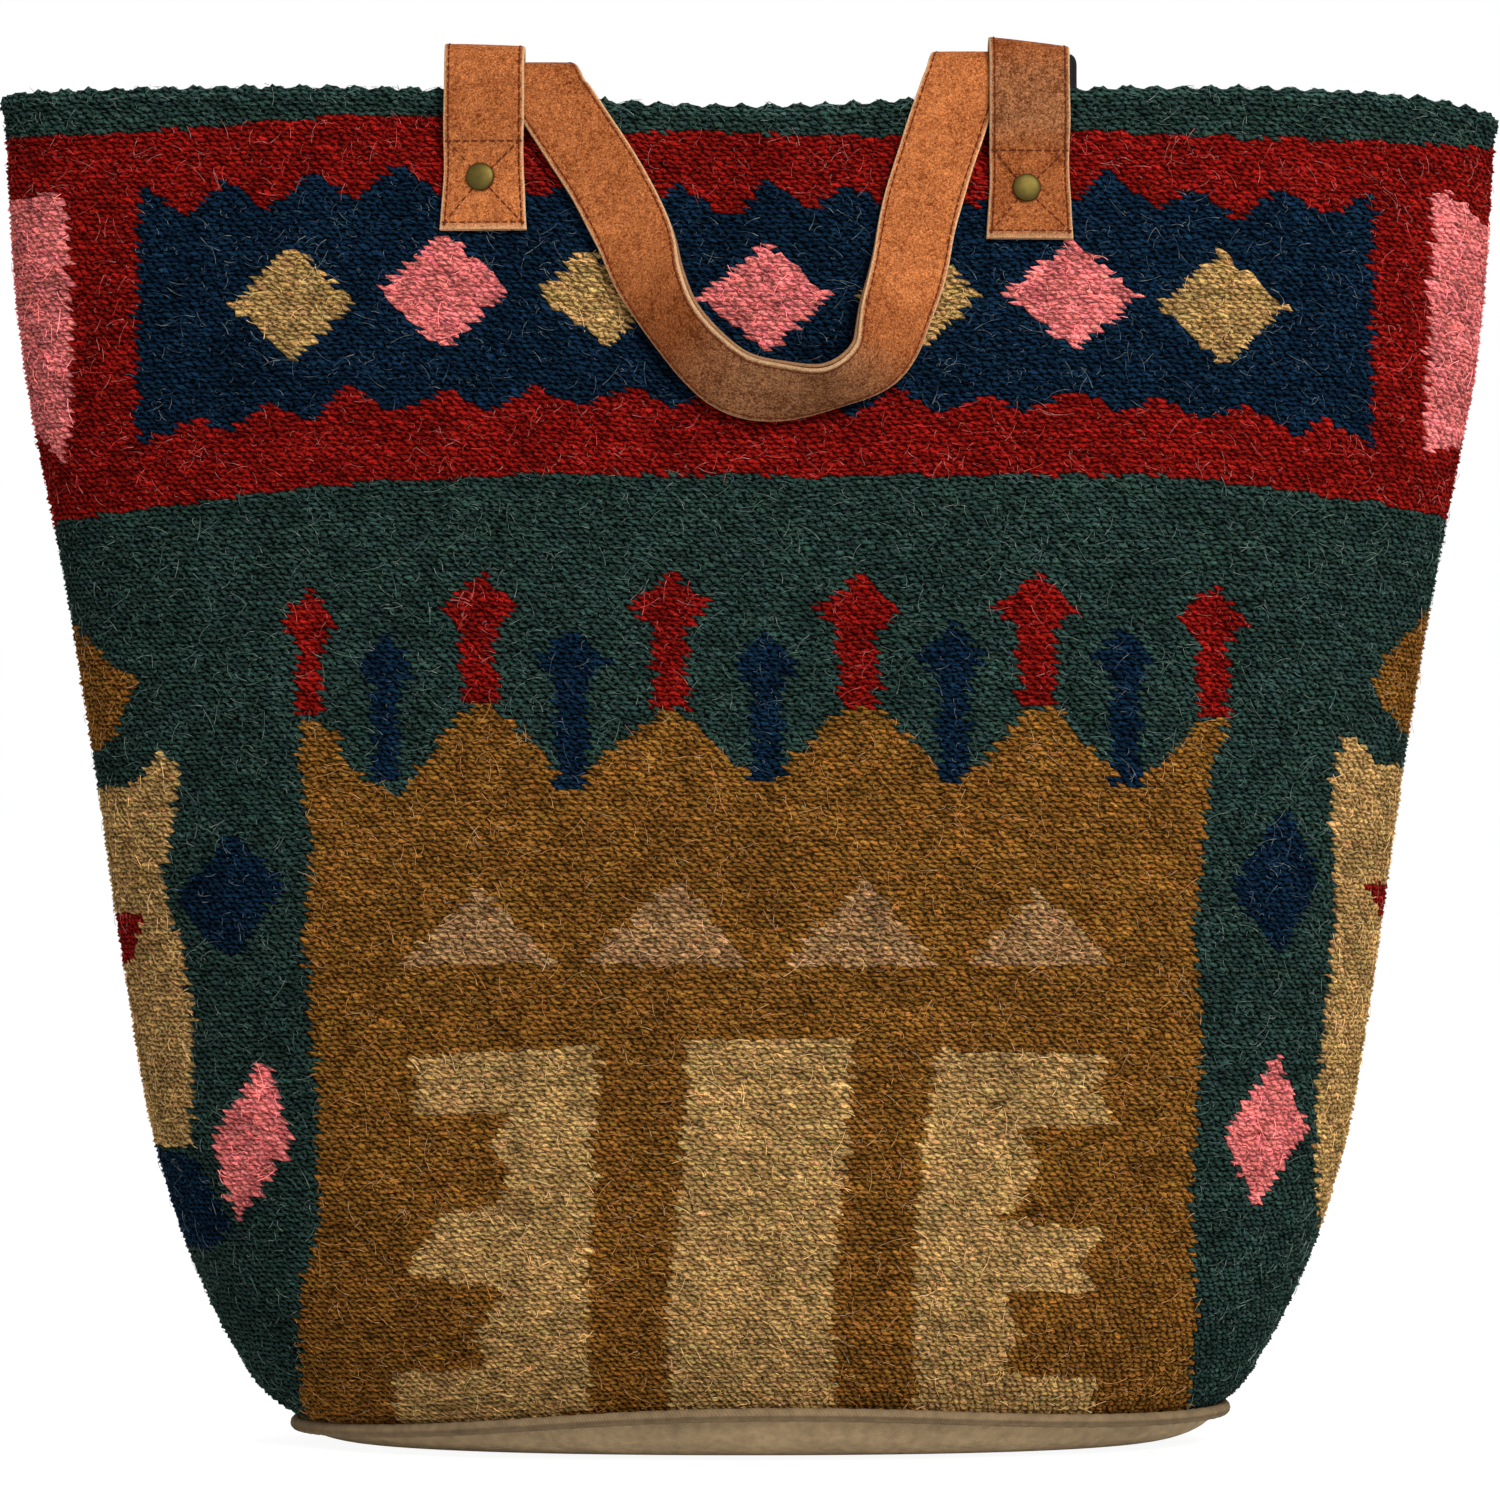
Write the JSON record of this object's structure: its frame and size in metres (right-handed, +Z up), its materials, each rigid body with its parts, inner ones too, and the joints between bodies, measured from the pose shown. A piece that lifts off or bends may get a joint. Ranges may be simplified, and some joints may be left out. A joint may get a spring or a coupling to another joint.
{
  "type": "handbag",
  "caption": "Open oval tote bag of flat-woven wool with a geometric pattern, a twined rim, a piped canvas base and suede strap handles riveted over the rim.",
  "frame": {"origin": "on the floor under the middle of the bag", "axes": "+Z up, +X along the bag's width to the right in the picture, -Y out of its front"},
  "size_m": [0.5233, 0.1878, 0.4858],
  "materials": {
    "wool": "weft-faced flat weave in green, red, blue, sand, pink and ochre yarn",
    "canvas": "plain woven canvas",
    "piping": "cloth-covered cord",
    "suede": "napped tan suede with a pale cut edge",
    "suede_backing": "darker leather backing",
    "black_leather": "smooth black leather",
    "brass": "antiqued brass"
  },
  "bodies": {
    "root": {"woven_wall": "wool", "base_panel": "canvas", "base_piping": "piping", "handle_face": "suede", "handle_backing": "suede_backing", "tab_left": "suede", "tab_right": "suede", "patch_left": "black_leather", "patch_right": "black_leather", "rivet_left": "brass", "rivet_right": "brass", "rear_handle_face": "suede", "rear_handle_backing": "suede_backing", "rear_tab_left": "suede", "rear_tab_right": "suede", "rear_patch_left": "black_leather", "rear_patch_right": "black_leather", "rear_rivet_left": "brass", "rear_rivet_right": "brass"}
  },
  "joints": []
}
